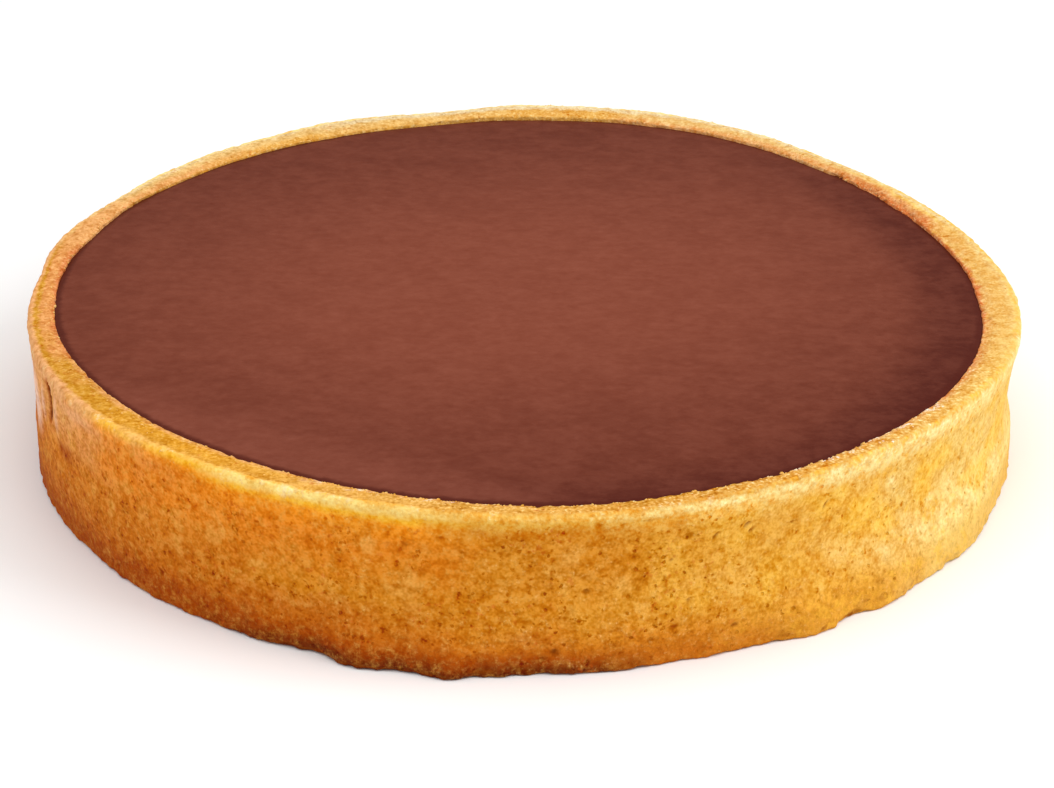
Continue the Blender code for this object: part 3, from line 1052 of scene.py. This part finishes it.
# Palest in the middle and darker towards the crust, partly the ganache's own colour and partly a painted
# sheen in the middle; darker still, with painted shade, near the crust at the +X side and at the front
PALE_MIDDLE_LEANS = math.radians(-15)
turned = place.node("VectorRotate", {"rotation_type": "Z_AXIS"}, {"Vector": place, "Angle": PALE_MIDDLE_LEANS})
oval = turned * (0.75, 1.0, 0.0) + (0.001, 0.0, 0.0)
from_middle = oval.node("VectorMath", {"operation": "LENGTH"}, {0: oval}, "Value")
from_middle = from_middle + (broad_film - 0.5) * (7 * MM)
colour = (from_middle.rise(10 * MM, 63 * MM) * 0.95).lay(MILK_CHOCOLATE, DEEP_CHOCOLATE)
# Painted shade near the crust at the +X side and at the front
at_side = east.rise(24 * MM, 52 * MM) * gap.rise(12, 3)
colour = (at_side * 0.75).lay(colour, SHADE_CHOCOLATE)
towards_front = east * 0.5 - north * 0.87
at_front = towards_front.rise(30 * MM, 54 * MM) * gap.rise(9, 1)
colour = (at_front * 0.6).lay(colour, SHADE_CHOCOLATE)
# A painted sheen along the front-left edge
towards_left = east * -0.45 - north * 0.89
sheen = towards_left.rise(44 * MM, 53 * MM) * gap.rise(0.6, 2.0)
colour = (sheen * 0.35).lay(colour, LIGHT_FILM_AND_SHEEN)
colour = (film.rise(0.38, 0.62) * 0.14).lay(colour, LIGHT_FILM_AND_SHEEN)
colour = colour.shaded((film - 0.5) * 0.04 + (fine_film - 0.5) * 0.07, (1.0, 1.0, 1.0))
# A thin line of painted shade along the crust, in the crease where the ganache meets it. At the front the
# rim hides most of it.
shown_gap = gap + north.worked("MINIMUM", north, 0.0) * (SHADE_SPREAD / INNER_RADIUS)
crease_shade = (shown_gap + (fine_film - 0.5) * 0.8).rise(1.3, 0.5)
colour = (crease_shade * (0.75 - 0.35 * north.rise(0.0, 45 * MM))).lay(colour, SHADE_CHOCOLATE)
feed(colour, shader, "Base Color")
feed(0.46 + 0.14 * film, shader, "Roughness")
feed_relief(film * 0.06 + fine_film * 0.03, 0.7, shader)
shader.inputs["Specular IOR Level"].default_value = 0.12
ganache.data.materials.append(chocolate)
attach(ganache, "root")
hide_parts("filling")

# --- Table, light and camera ----------------------------------------------------------------------
# The tart stands on a plain pale table under a broad overhead diffuser, with a soft lamp on its right
# and a weak one on its left.

TABLE_SIZE = 6.0
UNDER_CASE = 0.1 * MM
half = TABLE_SIZE / 2
table_corners = [(-half, -half, 0), (half, -half, 0), (half, half, 0), (-half, half, 0)]
table = new_piece("table", table_corners, [(0, 1, 2, 3)])
table.location.z = CASE_FLOOR - UNDER_CASE
pale_table, shader, place = bare_finish("pale_table")
shader.inputs["Base Color"].default_value = (0.93, 0.93, 0.93, 1)
shader.inputs["Roughness"].default_value = 0.9
shader.inputs["Specular IOR Level"].default_value = 0.1
table.data.materials.append(pale_table)

world = bpy.data.worlds.new("studio")
bpy.context.scene.world = world
world.use_nodes = True
backdrop = world.node_tree.nodes["Background"]
backdrop.inputs["Color"].default_value = (1, 1, 1, 1)
backdrop.inputs["Strength"].default_value = 0.36


def soft_lamp(name, azimuth, elevation, distance, size, watts):
    """A square diffuser that faces the tart. Azimuth 0 is the front, and 90 the right."""
    turn, lift = math.radians(azimuth), math.radians(elevation)
    way = Vector((math.sin(turn) * math.cos(lift), -math.cos(turn) * math.cos(lift), math.sin(lift)))
    data = bpy.data.lights.new(name, "AREA")
    data.shape = "SQUARE"
    data.size = size
    data.energy = watts
    lamp = bpy.data.objects.new(name, data)
    lamp.location = way * distance
    lamp.rotation_euler = way.to_track_quat("Z", "Y").to_euler()
    bpy.context.scene.collection.objects.link(lamp)


soft_lamp("overhead", azimuth=0, elevation=78, distance=1.2, size=1.9, watts=14)
soft_lamp("right_lamp", azimuth=78, elevation=40, distance=0.9, size=0.5, watts=3.5)
soft_lamp("left_lamp", azimuth=-75, elevation=25, distance=1.0, size=0.8, watts=1.7)

RIM_CENTRE = Vector((0, 0, CASE_HEIGHT))
CAMERA_DISTANCE = 367.5 * MM
CAMERA_ELEVATION = math.radians(24.27)
CAMERA_PITCH = math.radians(26.48)
CAMERA_TURN = math.radians(0.113)
CAMERA_ROLL = math.radians(0.72)
CAMERA_ASIDE = 0.12 * MM
camera_data = bpy.data.cameras.new("camera")
camera_data.lens = 100
camera_data.sensor_width = 36
camera_data.clip_start = 0.01
camera = bpy.data.objects.new("camera", camera_data)
back = CAMERA_DISTANCE * math.cos(CAMERA_ELEVATION)
up_from_rim = CAMERA_DISTANCE * math.sin(CAMERA_ELEVATION)
camera.matrix_world = (
    Matrix.Translation(RIM_CENTRE + Vector((CAMERA_ASIDE, -back, up_from_rim)))
    @ Matrix.Rotation(-CAMERA_TURN, 4, "Z")
    @ Matrix.Rotation(math.pi / 2 - CAMERA_PITCH, 4, "X")
    @ Matrix.Rotation(CAMERA_ROLL, 4, "Z")
)
bpy.context.scene.collection.objects.link(camera)
bpy.context.scene.camera = camera
bpy.context.scene.view_settings.view_transform = "Standard"
